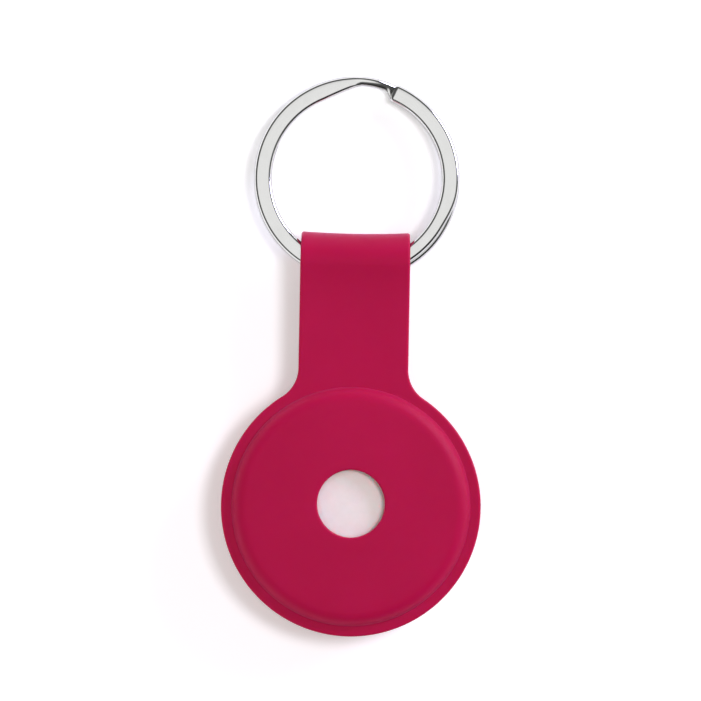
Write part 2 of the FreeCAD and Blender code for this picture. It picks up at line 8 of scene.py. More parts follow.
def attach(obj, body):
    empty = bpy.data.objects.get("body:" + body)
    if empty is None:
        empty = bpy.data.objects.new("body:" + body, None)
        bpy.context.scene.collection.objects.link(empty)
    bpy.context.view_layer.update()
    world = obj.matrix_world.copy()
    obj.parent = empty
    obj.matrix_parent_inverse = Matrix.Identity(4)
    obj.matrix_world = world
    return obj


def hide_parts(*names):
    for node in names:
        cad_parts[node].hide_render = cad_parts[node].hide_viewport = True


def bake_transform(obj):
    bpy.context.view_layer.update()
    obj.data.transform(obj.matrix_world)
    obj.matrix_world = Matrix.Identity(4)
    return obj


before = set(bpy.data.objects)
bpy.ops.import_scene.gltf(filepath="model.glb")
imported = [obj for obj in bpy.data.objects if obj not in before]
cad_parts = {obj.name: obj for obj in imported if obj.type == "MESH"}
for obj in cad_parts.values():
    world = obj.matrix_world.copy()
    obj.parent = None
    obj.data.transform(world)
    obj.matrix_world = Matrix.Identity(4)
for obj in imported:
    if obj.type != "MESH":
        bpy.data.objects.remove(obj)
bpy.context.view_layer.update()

# Tracker tag holder: a soft silicone moulding folded over a bright split ring, lying on its back on a
# white table and seen from straight above. Lengths are millimetres until a mesh or lamp is made.
MM = 0.001

# Silicone moulding. Its main sizes are those of its solids, and heights on a leaf count from the plane
# where the two leaves meet.
PARTING = 7.4
SHEET = 1.2
POCKET_RADIUS = 16.15
DOME_WALL = 1.25
FLANGE_LEDGE = 1.5
FRONT_DRAFT = 0.6
REAR_DRAFT = 0.2
CROWN_RISE = 0.6
FRONT_HEIGHT = 3.5
SHOULDER_ROUND = 2.3
REAR_SHOULDER_ROUND = 2.8
FRONT_POCKET_ROUND = 1.1
REAR_POCKET_ROUND = 1.6
WINDOW_RADIUS = 4.9
WINDOW_SHIFT = 0.45
SHIFT_REACH = 13.0
PUSH_HOLE_RADIUS = 6.0
FOOT_ROUND = 0.15
RIM_ROUND = 0.35
EDGE_ROUND = 0.35
LIP_ROUND = 0.1
BEAD_ROUND = 0.45
BEAD_PLAY = 0.15
DOME_RADIUS = POCKET_RADIUS + DOME_WALL
FLANGE_RADIUS = DOME_RADIUS + FLANGE_LEDGE
FRONT_TOP_RADIUS = DOME_RADIUS - FRONT_DRAFT
BACK_RADIUS = DOME_RADIUS - REAR_DRAFT
REAR_DEPTH = PARTING
BEAD_RADIUS = (POCKET_RADIUS + FLANGE_RADIUS) / 2
GROOVE_ROUND = BEAD_ROUND + BEAD_PLAY

# Radii on the flange where the cup's section ends: on its face, and where the leaves meet
FACE_EDGE = 18.0
MATING_EDGE = 18.3

# Neck, whose hollow rounds touch the disc and the strap
STRAP_HALF_WIDTH = 8.0
NECK_ROUND = 5.0
NECK_CENTRE = Vector((
    STRAP_HALF_WIDTH + NECK_ROUND,
    math.sqrt((FLANGE_RADIUS + NECK_ROUND) ** 2 - (STRAP_HALF_WIDTH + NECK_ROUND) ** 2),
))
NECK_ANGLE = math.atan2(NECK_CENTRE.y, NECK_CENTRE.x)

# Split ring. Degrees run on along both turns of its strip, from the lower end to the free end.
RING_RADIUS = 15.0
RING_BAND = 2.6
RING_THICKNESS = 2.52
TURN_GAP = 0.06
STRIP_THICKNESS = (RING_THICKNESS - TURN_GAP) / 2
STRIP_ROUND = 0.55
END_ROUND = 0.12
LOWER_START_DEGREES = 157.0
JOGGLE_FOOT_DEGREES = 428.6
JOGGLE_TOP_DEGREES = 454.0
FREE_END_DEGREES = 788.0
JOGGLE_EASE = 2.3
NARROWING = 1.33
NARROW_FOOT_DEGREES = 427.0
NARROW_FOOT_RUN_DEGREES = 7.0
NARROW_TOP_DEGREES = 475.0
NARROW_TOP_RUN_DEGREES = 27.0
NARROW_EASE = 1.8
SLOPE_TOP_DEGREES = 457.0
SLOPE_RUN_DEGREES = 9.0
SLOPE_FLAT = 0.6
SLOPE_DROP = 0.3
SLOPE_EASE = 1.6
SLOPE_ROUND = 0.06
STAND_IN = 0.45
STAND_IN_START_DEGREES = 640.0
STAND_IN_END_DEGREES = 714.0
STAND_IN_RUN_DEGREES = 24.0

# Loop, just wide enough for the ring where the strap crosses it
LOOP_PLAY = 0.06
STRAP_LENGTH = 21.05
FRONT_RISE = 0.6
SADDLE = 0.22
FOLD_NARROWING = 0.1
RING_CHORD = math.sqrt((RING_RADIUS - RING_BAND) ** 2 - STRAP_HALF_WIDTH**2)
RING_OFFSET = (RING_RADIUS + RING_CHORD) / 2
RING_HALF_SPREAD = (RING_RADIUS - RING_CHORD) / 2
LOOP_BORE = math.hypot(RING_HALF_SPREAD, RING_THICKNESS / 2) + LOOP_PLAY
LOOP_OUTER = LOOP_BORE + SHEET
LOOP_Y = FLANGE_RADIUS + STRAP_LENGTH - LOOP_OUTER
LOOP_DROP = LOOP_BORE - FRONT_RISE
LOOP_Z = PARTING - LOOP_DROP
RING_DROOP = math.asin((LOOP_Z - RING_THICKNESS / 2) / (RING_OFFSET + RING_RADIUS))

# Each leaf's strap runs flat, then sweeps up or down to the loop, which it meets at a lean
FRONT_FLAT = 10.0
REAR_FLAT = 3.4
FRONT_FLAT_END = FLANGE_RADIUS + FRONT_FLAT
FRONT_SPAN = LOOP_Y - FRONT_FLAT_END
FRONT_SWEEP = (FRONT_SPAN**2 / FRONT_RISE - LOOP_BORE - LOOP_DROP - 2 * SHEET) / 2
FRONT_LEAN = math.asin(FRONT_SPAN / (LOOP_OUTER + FRONT_SWEEP))
REAR_FLAT_END = FLANGE_RADIUS + REAR_FLAT
REAR_SPAN = LOOP_Y - REAR_FLAT_END
REAR_SWEEP = (REAR_SPAN**2 / (LOOP_BORE + LOOP_DROP) - LOOP_BORE + LOOP_DROP - 2 * SHEET) / 2
REAR_LEAN = math.asin(REAR_SPAN / (LOOP_OUTER + REAR_SWEEP))

# How finely the meshes are divided
NECK_COLUMNS = 40
DISC_COLUMNS = 176
NECK_ROWS = 14
FLAT_ROWS = 8
SWEEP_ROWS = 24
LOOP_ROWS = 64
RING_STEP_DEGREES = 1.0
PROFILE_STEP = 0.7
ARC_STEP = math.radians(11.0)
FEWEST_ARC_STEPS = 3
BEAD_STEPS = 12
CROWN_STEPS = 8
WELD = 0.001
SHARP_TURN = math.radians(50.0)


def spread(start, end, count):
    """Evenly spaced numbers from start to end."""
    return [start + (end - start) * number / count for number in range(count + 1)]


def clamped(value):
    """A number held between 0 and 1."""
    return min(max(value, 0), 1)


def eased(value):
    """A smooth step from 0 to 1."""
    share = clamped(value)
    return share**2 * (3 - 2 * share)


def rounded_line(corners):
    """An open line through corners (across, up) or (across, up, radius), with the latter rounded."""
    spots = [Vector(corner[:2]) for corner in corners]
    line = [spots[0]]
    for before, spot, after, corner in zip(spots, spots[1:], spots[2:], corners[1:]):
        if len(corner) == 2:
            line.append(spot)
            continue
        back = (before - spot).normalized()
        ahead = (after - spot).normalized()
        half = back.angle(ahead) / 2
        centre = spot + (back + ahead).normalized() * corner[2] / math.sin(half)
        start = spot + back * corner[2] / math.tan(half) - centre
        turn = start.angle_signed(spot + ahead * corner[2] / math.tan(half) - centre)
        steps = max(FEWEST_ARC_STEPS, math.ceil(abs(turn) / ARC_STEP))
        for step in range(steps + 1):
            line.append(centre + Matrix.Rotation(-turn * step / steps, 2) @ start)
    line.append(spots[-1])
    return line


def divided(line, step):
    """The same line with points added where they lie further apart than a step."""
    points = [line[0]]
    for start, end in zip(line, line[1:]):
        count = max(1, math.ceil((end - start).length / step))
        points += [start.lerp(end, number / count) for number in range(1, count + 1)]
    return points


def half_round(middle, radius, rise):
    """A half circle from the outside in, where the leaves meet: a bead for rise -1, a groove for 1."""
    angles = spread(0, math.pi, BEAD_STEPS)
    return [(middle + radius * math.cos(angle), rise * radius * math.sin(angle)) for angle in angles]


def crown(top, edge_radius, start, end):
    """Corners along a shallow crown, out from one radius to another."""
    radii = spread(start, end, CROWN_STEPS)
    return [(radius, top - CROWN_RISE * (radius / edge_radius) ** 2) for radius in radii]


def front_profile():
    """Section of the front cup from its mating face, over the pocket and window, to the flange."""
    ceiling_edge = POCKET_RADIUS - 2 * FRONT_POCKET_ROUND
    ceiling = crown(FRONT_HEIGHT - SHEET, POCKET_RADIUS, ceiling_edge, WINDOW_RADIUS)
    outside = crown(FRONT_HEIGHT, FRONT_TOP_RADIUS, WINDOW_RADIUS, FRONT_TOP_RADIUS - SHOULDER_ROUND)
    return [
        (MATING_EDGE, 0),
        *half_round(BEAD_RADIUS, GROOVE_ROUND, 1),
        (POCKET_RADIUS, 0, LIP_ROUND),
        (POCKET_RADIUS, FRONT_HEIGHT - SHEET - CROWN_RISE, FRONT_POCKET_ROUND),
        *ceiling[:-1],
        (*ceiling[-1], LIP_ROUND),
        (*outside[0], RIM_ROUND),
        *outside[1:],
        (FRONT_TOP_RADIUS, FRONT_HEIGHT - CROWN_RISE, SHOULDER_ROUND),
        (DOME_RADIUS, SHEET, FOOT_ROUND),
        (FACE_EDGE, SHEET),
    ]


def rear_profile():
    """Section of the rear cup from its mating face, over the pocket and push-out hole, to the flange."""
    return [
        (MATING_EDGE, 0),
        *half_round(BEAD_RADIUS, BEAD_ROUND, -1),
        (POCKET_RADIUS, 0, LIP_ROUND),
        (POCKET_RADIUS, REAR_DEPTH - SHEET, REAR_POCKET_ROUND),
        (PUSH_HOLE_RADIUS, REAR_DEPTH - SHEET, LIP_ROUND),
        (PUSH_HOLE_RADIUS, REAR_DEPTH, RIM_ROUND),
        (BACK_RADIUS, REAR_DEPTH, REAR_SHOULDER_ROUND),
        (DOME_RADIUS, SHEET, FOOT_ROUND),
        (FACE_EDGE, SHEET),
    ]


def strap_stations(side, flat_end, sweep, lean, with_loop):
    """Places along a strap: a point on its inner skin, the way to its outer skin, and a fold share."""
    stations = [(Vector((y, PARTING)), Vector((0, side)), 0.0)
                for y in spread(NECK_CENTRE.y, flat_end, FLAT_ROWS)]
    sweep_centre = Vector((flat_end, PARTING + side * (SHEET + sweep)))
    for angle in spread(0, lean, SWEEP_ROWS)[1:]:
        outward = Vector((-math.sin(angle), side * math.cos(angle)))
        stations.append((sweep_centre - outward * (SHEET + sweep), outward, 0.0))
    if with_loop:
        seam = math.pi / 2 + FRONT_LEAN
        end = -math.pi / 2 - REAR_LEAN
        for angle in spread(seam, end, LOOP_ROWS)[1:]:
            outward = Vector((math.cos(angle), math.sin(angle)))
            fold_share = (1 + math.cos(math.pi * min(abs(angle) / seam, 1))) / 2
            stations.append((Vector((LOOP_Y, LOOP_Z)) + outward * LOOP_BORE, outward, fold_share))
    return stations


def on_strap(station, across, height):
    """A point on the strap, across from its middle and up from its inner skin."""
    inner, outward, _ = station
    spot = inner + outward * height
    return Vector((across, spot.x, spot.y))


def half_width(station):
    """Half the strap's width, which is a little less where it folds."""
    return STRAP_HALF_WIDTH - FOLD_NARROWING * station[2]


def on_disc(side, radius, angle, height, shift=0):
    """A point on a leaf's cup; a shift moves its middle along the strap and fades to the shoulder."""
    fade = eased((SHIFT_REACH - radius) / (SHIFT_REACH - WINDOW_RADIUS - RIM_ROUND))
    along = radius * math.sin(angle) + shift * fade
    return Vector((radius * math.cos(angle), along, PARTING + side * height))


def on_neck(side, hand, angle, inset, height):
    """A point beside the neck's hollow round, on the right (hand 1) or the left (hand -1)."""
    reach = NECK_ROUND + inset
    across = NECK_CENTRE.x + reach * math.cos(angle)
    return Vector((hand * across, NECK_CENTRE.y + reach * math.sin(angle), PARTING + side * height))


def neck_outline(side, disc_edge, inset, height):
    """The flat of the neck: along the disc, out to the hollow rounds, and across the strap's start."""
    disc = [on_disc(side, disc_edge, angle, height)
            for angle in spread(math.pi - NECK_ANGLE, NECK_ANGLE, NECK_COLUMNS)]
    turns = spread(math.pi + NECK_ANGLE, math.pi, NECK_ROWS)
    right = [on_neck(side, 1, turn, inset, height) for turn in turns]
    left = [on_neck(side, -1, turn, inset, height) for turn in reversed(turns)]
    across = [right[-1].lerp(left[0], share) for share in spread(0, 1, NECK_COLUMNS)]
    return disc + right[:-1] + across + left[1:]


def strap_rows(stations, inset, height, saddle):
    """Rows across the strap and its loop, hollowed between its edges where it folds."""
    rows = []
    for station in stations:
        reach = half_width(station) - inset
        rows.append([
            on_strap(station, reach * share, height - saddle * station[2] * (1 - share**2))
            for share in spread(1, -1, NECK_COLUMNS)
        ])
    return rows


def edge_line():
    """Section of the moulding's edge, from outer to inner skin: inset from the edge, and height."""
    corners = [
        (EDGE_ROUND + LIP_ROUND, SHEET),
        (0, SHEET, EDGE_ROUND),
        (0, 0, LIP_ROUND),
        (EDGE_ROUND + LIP_ROUND, 0),
    ]
    return rounded_line(corners)[1:-1]


def edge_rows(side, stations):
    """The moulding's edge, from the strap's end on the right round the disc to its end on the left."""
    section = edge_line()
    rows = []
    for station in reversed(stations):
        rows.append([on_strap(station, half_width(station) - inset, height) for inset, height in section])
    turns = spread(math.pi, math.pi + NECK_ANGLE, NECK_ROWS)
    for turn in turns[1:]:
        rows.append([on_neck(side, 1, turn, inset, height) for inset, height in section])
    for angle in reversed(spread(math.pi - NECK_ANGLE, 2 * math.pi + NECK_ANGLE, DISC_COLUMNS)[:-1]):
        rows.append([on_disc(side, FLANGE_RADIUS - inset, angle, height) for inset, height in section])
    for turn in reversed(turns[:-1]):
        rows.append([on_neck(side, -1, turn, inset, height) for inset, height in section])
    for station in stations[1:]:
        rows.append([on_strap(station, inset - half_width(station), height) for inset, height in section])
    return rows


def add_grid(mesh, rows):
    """Quads between rows of points."""
    corners = [[mesh.verts.new(point * MM) for point in row] for row in rows]
    for low, high in zip(corners, corners[1:]):
        for place in range(len(low) - 1):
            mesh.faces.new((low[place], low[place + 1], high[place + 1], high[place]))


def add_flat(mesh, outline):
    """A flat face inside an outline, cut into triangles."""
    face = mesh.faces.new([mesh.verts.new(point * MM) for point in outline])
    face.normal_update()
    bmesh.ops.triangulate(mesh, faces=[face])


def finish_mesh(name, mesh):
    """Weld the grids, close their open ends, and make the piece."""
    bmesh.ops.remove_doubles(mesh, verts=mesh.verts, dist=WELD * MM)
    bmesh.ops.dissolve_degenerate(mesh, edges=mesh.edges, dist=WELD * MM)
    bmesh.ops.holes_fill(mesh, edges=[edge for edge in mesh.edges if edge.is_boundary])
    bmesh.ops.recalc_face_normals(mesh, faces=mesh.faces)
    for face in mesh.faces:
        face.smooth = True
    for edge in mesh.edges:
        edge.smooth = edge.calc_face_angle() < SHARP_TURN
    data = bpy.data.meshes.new(name)
    mesh.to_mesh(data)
    mesh.free()
    piece = bpy.data.objects.new(name, data)
    bpy.context.scene.collection.objects.link(piece)
    return piece


def make_leaf(name, side, profile, stations, window_shift):
    """One leaf of the moulding: cup, flange, neck and strap as a single closed skin."""
    mesh = bmesh.new()
    section = divided(rounded_line(profile), PROFILE_STEP)
    beside_neck = spread(math.pi - NECK_ANGLE, 2 * math.pi + NECK_ANGLE, DISC_COLUMNS)
    all_round = spread(NECK_ANGLE, math.pi - NECK_ANGLE, NECK_COLUMNS) + beside_neck[1:]
    cup_rows = [
        [on_disc(side, radius, angle, height, window_shift) for radius, height in section]
        for angle in all_round
    ]
    add_grid(mesh, cup_rows)
    skins = ((FACE_EDGE, EDGE_ROUND, SHEET, SADDLE), (MATING_EDGE, LIP_ROUND, 0, 0))
    for disc_edge, inset, height, saddle in skins:
        ledge = (disc_edge, FLANGE_RADIUS - inset)
        ledge_rows = [[on_disc(side, radius, angle, height) for radius in ledge] for angle in beside_neck]
        add_grid(mesh, ledge_rows)
        add_flat(mesh, neck_outline(side, disc_edge, inset, height))
        add_grid(mesh, strap_rows(stations, inset, height, saddle))
    add_grid(mesh, edge_rows(side, stations))
    return finish_mesh(name, mesh)


def strip_section():
    """Rounded section of the ring's strip: out from the mean radius, and up."""
    half_band = RING_BAND / 2
    half_thickness = STRIP_THICKNESS / 2
    return rounded_line([
        (0, -half_thickness),
        (half_band, -half_thickness, STRIP_ROUND),
        (half_band, half_thickness, STRIP_ROUND),
        (-half_band, half_thickness, STRIP_ROUND),
        (-half_band, -half_thickness, STRIP_ROUND),
        (0, -half_thickness),
    ])


def on_strip(out, up, narrow_share, slope_share):
    """A point of the strip's section, counted from its outer edge.

    The two shares narrow the section and slope it down towards the inside of the ring.
    """
    width = RING_BAND - NARROWING * narrow_share
    inner_round = STRIP_ROUND + (SLOPE_ROUND - STRIP_ROUND) * slope_share
    inward = RING_BAND / 2 - out
    past_flat = inward - (RING_BAND - STRIP_ROUND)
    if past_flat > 0:
        inward = width - inner_round + past_flat * inner_round / STRIP_ROUND
    elif inward > STRIP_ROUND:
        flat_share = (inward - STRIP_ROUND) / (RING_BAND - 2 * STRIP_ROUND)
        inward = STRIP_ROUND + flat_share * (width - inner_round - STRIP_ROUND)
    down_share = clamped((inward - SLOPE_FLAT) / (width - SLOPE_FLAT)) ** SLOPE_EASE
    top_share = (up + STRIP_THICKNESS / 2) / STRIP_THICKNESS
    return Vector((-inward, up - SLOPE_DROP * slope_share * down_share * top_share))


def make_split_ring():
    """Turns of strip, stepped and narrowed at the joggle; by the strap the upper turn stands in."""
    mesh = bmesh.new()
    section = divided(strip_section(), STRIP_ROUND)
    upper = (STRIP_THICKNESS + TURN_GAP) / 2
    hang = Matrix.Translation((
        0,
        LOOP_Y + RING_OFFSET * math.cos(RING_DROOP),
        LOOP_Z - RING_OFFSET * math.sin(RING_DROOP),
    )) @ Matrix.Rotation(-RING_DROOP, 4, "X")
    count = round((FREE_END_DEGREES - LOWER_START_DEGREES) / RING_STEP_DEGREES)
    rows = []
    for place, degrees in enumerate(spread(LOWER_START_DEGREES, FREE_END_DEGREES, count)):
        climb = (degrees - JOGGLE_FOOT_DEGREES) / (JOGGLE_TOP_DEGREES - JOGGLE_FOOT_DEGREES)
        level = upper * (1 - 2 * (1 - clamped(climb)) ** JOGGLE_EASE)
        foot_share = eased((degrees - NARROW_FOOT_DEGREES) / NARROW_FOOT_RUN_DEGREES)
        top_share = clamped((NARROW_TOP_DEGREES - degrees) / NARROW_TOP_RUN_DEGREES) ** NARROW_EASE
        slope_share = foot_share * eased((SLOPE_TOP_DEGREES - degrees) / SLOPE_RUN_DEGREES)
        stand_in = STAND_IN * eased((degrees - STAND_IN_START_DEGREES) / STAND_IN_RUN_DEGREES)
        stand_in *= eased((STAND_IN_END_DEGREES - degrees) / STAND_IN_RUN_DEGREES)
        narrow_share = foot_share * top_share + stand_in / NARROWING
        softening = END_ROUND if place in (0, count) else 0
        turn = Matrix.Rotation(math.radians(degrees), 4, "Z")
        row = []
        for out, up in section:
            out *= 1 - 2 * softening / RING_BAND
            up *= 1 - 2 * softening / STRIP_THICKNESS
            spot = on_strip(out, up, narrow_share, slope_share)
            row.append(hang @ turn @ Vector((RING_RADIUS - stand_in + spot.x, 0, level + spot.y)))
        rows.append(row)
    add_grid(mesh, rows)
    return finish_mesh("ring_strip", mesh)


# Between these shares of a pattern's range its effect runs from low to high
PATTERN_START_SHARE = 0.3
PATTERN_END_SHARE = 0.7

# How much finer the texture of a surface is than its mottle
METAL_FINENESS = 4
PLASTIC_FINENESS = 5


def new_material(name):
    """A node material with its shader, and the piece's own coordinates to paint by."""
    material = bpy.data.materials.new(name)
    material.use_nodes = True
    nodes = material.node_tree.nodes
    place = nodes.new("ShaderNodeTexCoord").outputs["Object"]
    return material, nodes, material.node_tree.links, nodes["Principled BSDF"], place


def add_noise(nodes, links, place, scale, detail):
    """A cloudy pattern, with its scale in clouds per metre."""
    noise = nodes.new("ShaderNodeTexNoise")
    noise.inputs["Scale"].default_value = scale
    noise.inputs["Detail"].default_value = detail
    links.new(place, noise.inputs["Vector"])
    return noise.outputs["Fac"]


def paint_between(nodes, links, pattern, shades, socket):
    """Run a colour between two shades along a pattern."""
    ramp = nodes.new("ShaderNodeValToRGB")
    shares = (PATTERN_START_SHARE, PATTERN_END_SHARE)
    for stop, share, shade in zip(ramp.color_ramp.elements, shares, shades):
        stop.position = share
        stop.color = (*shade, 1)
    links.new(pattern, ramp.inputs["Fac"])
    links.new(ramp.outputs["Color"], socket)


def vary(nodes, links, pattern, limits, socket):
    """Run a number between two limits along a pattern."""
    remap = nodes.new("ShaderNodeMapRange")
    remap.inputs["From Min"].default_value = PATTERN_START_SHARE
    remap.inputs["From Max"].default_value = PATTERN_END_SHARE
    remap.inputs["To Min"].default_value = limits[0]
    remap.inputs["To Max"].default_value = limits[1]
    links.new(pattern, remap.inputs["Value"])
    links.new(remap.outputs["Result"], socket)


def add_bump(nodes, links, pattern, depth, strength, shader):
    """Raise the surface a little along a pattern."""
    bump = nodes.new("ShaderNodeBump")
    bump.inputs["Distance"].default_value = depth * MM
    bump.inputs["Strength"].default_value = strength
    links.new(pattern, bump.inputs["Height"])
    links.new(bump.outputs["Normal"], shader.inputs["Normal"])


def make_silicone():
    """Soft matte moulded silicone, with the faint cloudiness of its pigment and a fine tool texture."""
    material, nodes, links, shader, place = new_material("silicone")
    shades = ((0.405, 0.0017, 0.049), (0.435, 0.0022, 0.055))
    clouds = add_noise(nodes, links, place, scale=70, detail=3)
    paint_between(nodes, links, clouds, shades, shader.inputs["Base Color"])
    patches = add_noise(nodes, links, place, scale=900, detail=3)
    vary(nodes, links, patches, limits=(0.46, 0.56), socket=shader.inputs["Roughness"])
    texture = add_noise(nodes, links, place, scale=5200, detail=2)
    add_bump(nodes, links, texture, depth=0.02, strength=0.18, shader=shader)
    shader.inputs["Specular IOR Level"].default_value = 0.16
    shader.inputs["Subsurface Weight"].default_value = 0.35
    shader.inputs["Subsurface Radius"].default_value = Vector((1.6, 0.2, 0.4)) * MM
    shader.inputs["Subsurface Scale"].default_value = 1.0
    shader.inputs["Sheen Weight"].default_value = 0.24
    shader.inputs["Sheen Roughness"].default_value = 0.35
    shader.inputs["Sheen Tint"].default_value = (1.0, 0.6, 1.0, 1.0)
    return material


def make_metal(name, shades, roughness, grain):
    """Metal with faint uneven polish and handling marks."""
    material, nodes, links, shader, place = new_material(name)
    marks = add_noise(nodes, links, place, scale=grain, detail=4)
    paint_between(nodes, links, marks, shades, shader.inputs["Base Color"])
    vary(nodes, links, marks, roughness, shader.inputs["Roughness"])
    texture = add_noise(nodes, links, place, scale=METAL_FINENESS * grain, detail=2)
    add_bump(nodes, links, texture, depth=0.004, strength=0.15, shader=shader)
    shader.inputs["Metallic"].default_value = 1.0
    shader.inputs["Specular Tint"].default_value = (0.35, 0.35, 0.35, 1.0)
    return material


def make_plastic(name, shades, roughness, grain):
    """Moulded plastic with a slight mottle and a fine moulded skin."""
    material, nodes, links, shader, place = new_material(name)
    mottle = add_noise(nodes, links, place, scale=grain, detail=3)
    paint_between(nodes, links, mottle, shades, shader.inputs["Base Color"])
    vary(nodes, links, mottle, roughness, shader.inputs["Roughness"])
    texture = add_noise(nodes, links, place, scale=PLASTIC_FINENESS * grain, detail=2)
    add_bump(nodes, links, texture, depth=0.004, strength=0.1, shader=shader)
    return material


def make_milky():
    """Satin white plastic that lets light wander a little way in, so it dims beside the window's rim."""
    shades = ((0.85, 0.84, 0.81), (0.88, 0.87, 0.84))
    material = make_plastic("tag_white", shades, roughness=(0.46, 0.54), grain=900)
    shader = material.node_tree.nodes["Principled BSDF"]
    shader.inputs["Specular IOR Level"].default_value = 0.15
    shader.inputs["Subsurface Weight"].default_value = 0.7
    shader.inputs["Subsurface Radius"].default_value = Vector((0.5, 2.0, 2.2)) * MM
    shader.inputs["Subsurface Scale"].default_value = 1.0
    return material


def make_wound(name, shades, turns_per_metre):
    """Metal with fine rings round the upright axis, as turned, brushed or wound."""
    material, nodes, links, shader, place = new_material(name)
    rings = nodes.new("ShaderNodeTexWave")
    rings.wave_type = "RINGS"
    rings.rings_direction = "Z"
    rings.inputs["Scale"].default_value = turns_per_metre
    rings.inputs["Distortion"].default_value = 0.6
    links.new(place, rings.inputs["Vector"])
    paint_between(nodes, links, rings.outputs["Fac"], shades, shader.inputs["Base Color"])
    vary(nodes, links, rings.outputs["Fac"], limits=(0.24, 0.34), socket=shader.inputs["Roughness"])
    add_bump(nodes, links, rings.outputs["Fac"], depth=0.01, strength=0.2, shader=shader)
    shader.inputs["Metallic"].default_value = 1.0
    return material


def make_board():
    """Green solder mask with paler tracks under it."""
    material, nodes, links, shader, place = new_material("board")
    tracks = nodes.new("ShaderNodeTexBrick")
    tracks.inputs["Scale"].default_value = 420
    tracks.inputs["Mortar Size"].default_value = 0.06
    tracks.inputs["Color1"].default_value = (0.010, 0.075, 0.030, 1)
    tracks.inputs["Color2"].default_value = (0.012, 0.090, 0.036, 1)
    tracks.inputs["Mortar"].default_value = (0.030, 0.170, 0.070, 1)
    links.new(place, tracks.inputs["Vector"])
    links.new(tracks.outputs["Color"], shader.inputs["Base Color"])
    add_bump(nodes, links, tracks.outputs["Fac"], depth=0.03, strength=0.3, shader=shader)
    patches = add_noise(nodes, links, place, scale=600, detail=2)
    vary(nodes, links, patches, limits=(0.32, 0.42), socket=shader.inputs["Roughness"])
    return material


def make_table_paint():
    """Matte white paint that looks white to the eye and in reflections, and keeps the shadows."""
    material, nodes, links, shader, place = new_material("table")
    clouds = add_noise(nodes, links, place, scale=30, detail=2)
    shades = ((0.88, 0.88, 0.88), (0.9, 0.9, 0.9))
    paint_between(nodes, links, clouds, shades, shader.inputs["Base Color"])
    shader.inputs["Roughness"].default_value = 0.9
    shader.inputs["Specular IOR Level"].default_value = 0.1
    rays = nodes.new("ShaderNodeLightPath")
    seen = rays.outputs["Is Camera Ray"]
    for kind in ("Is Glossy Ray", "Is Transmission Ray"):
        either = nodes.new("ShaderNodeMath")
        either.operation = "MAXIMUM"
        links.new(seen, either.inputs[0])
        links.new(rays.outputs[kind], either.inputs[1])
        seen = either.outputs["Value"]
    glow = nodes.new("ShaderNodeMath")
    glow.operation = "MULTIPLY"
    glow.inputs[1].default_value = TABLE_GLOW
    links.new(seen, glow.inputs[0])
    shader.inputs["Emission Color"].default_value = (1, 1, 1, 1)
    links.new(glow.outputs["Value"], shader.inputs["Emission Strength"])
    return material


def dress(piece, material):
    """Give a piece one material."""
    piece.data.materials.clear()
    piece.data.materials.append(material)


# Silicone moulding: the rear leaf is attached to its body, and the front leaf, which carries the loop,
# stays where it is built
silicone = make_silicone()
front_stations = strap_stations(1, FRONT_FLAT_END, FRONT_SWEEP, FRONT_LEAN, True)
front = make_leaf("silicone_front", 1, front_profile(), front_stations, WINDOW_SHIFT)
dress(front, silicone)
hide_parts("front_leaf")
rear_stations = strap_stations(-1, REAR_FLAT_END, REAR_SWEEP, REAR_LEAN, False)
rear = make_leaf("silicone_rear", -1, rear_profile(), rear_stations, 0)
dress(rear, silicone)
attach(rear, "rear")
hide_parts("rear_leaf")
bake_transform(front)

# Split ring
plating_shades = ((0.71, 0.71, 0.70), (0.75, 0.75, 0.74))
ring = make_split_ring()
dress(ring, make_metal("ring_plating", plating_shades, roughness=(0.08, 0.14), grain=500))
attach(ring, "ring")
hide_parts("split_ring")

# Finishes of the tracker's pieces, which keep their own shapes
white_plastic = make_milky()
gasket_shades = ((0.05, 0.05, 0.06), (0.08, 0.08, 0.09))
black_plastic = make_plastic("cell_gasket", gasket_shades, roughness=(0.5, 0.6), grain=900)
cover_steel = make_wound("cover_steel", ((0.60, 0.60, 0.61), (0.70, 0.70, 0.71)), turns_per_metre=2600)
copper = make_wound("copper", ((0.62, 0.25, 0.10), (0.80, 0.38, 0.18)), turns_per_metre=5200)
cell_shades = ((0.58, 0.58, 0.57), (0.66, 0.66, 0.65))
cell_steel = make_metal("cell_steel", cell_shades, roughness=(0.22, 0.34), grain=700)
brass_shades = ((0.72, 0.54, 0.25), (0.80, 0.62, 0.31))
contact_brass = make_metal("contact_brass", brass_shades, roughness=(0.2, 0.3), grain=900)
shield_shades = ((0.34, 0.34, 0.36), (0.42, 0.42, 0.44))
chip_shield = make_metal("chips", shield_shades, roughness=(0.3, 0.42), grain=1500)
magnet_shades = ((0.30, 0.30, 0.31), (0.38, 0.38, 0.39))
magnet_metal = make_metal("magnet", magnet_shades, roughness=(0.3, 0.42), grain=800)
FINISHES = {
    "tag_cap": white_plastic,
    "tag_chassis": white_plastic,
    "tag_battery_cover": cover_steel,
    "coin_cell_can": cell_steel,
    "coin_cell_gasket": black_plastic,
    "coin_cell_cap": cell_steel,
    "tag_circuit_board": make_board(),
    "tag_radio_chip": chip_shield,
    "tag_motion_chip": chip_shield,
    "tag_sound_chip": chip_shield,
    "tag_speaker_magnet": magnet_metal,
    "tag_voice_coil": copper,
    "tag_negative_contact": contact_brass,
    "tag_positive_contact_right": contact_brass,
    "tag_positive_contact_left": contact_brass,
}
for node, finish in FINISHES.items():
    dress(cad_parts[node], finish)

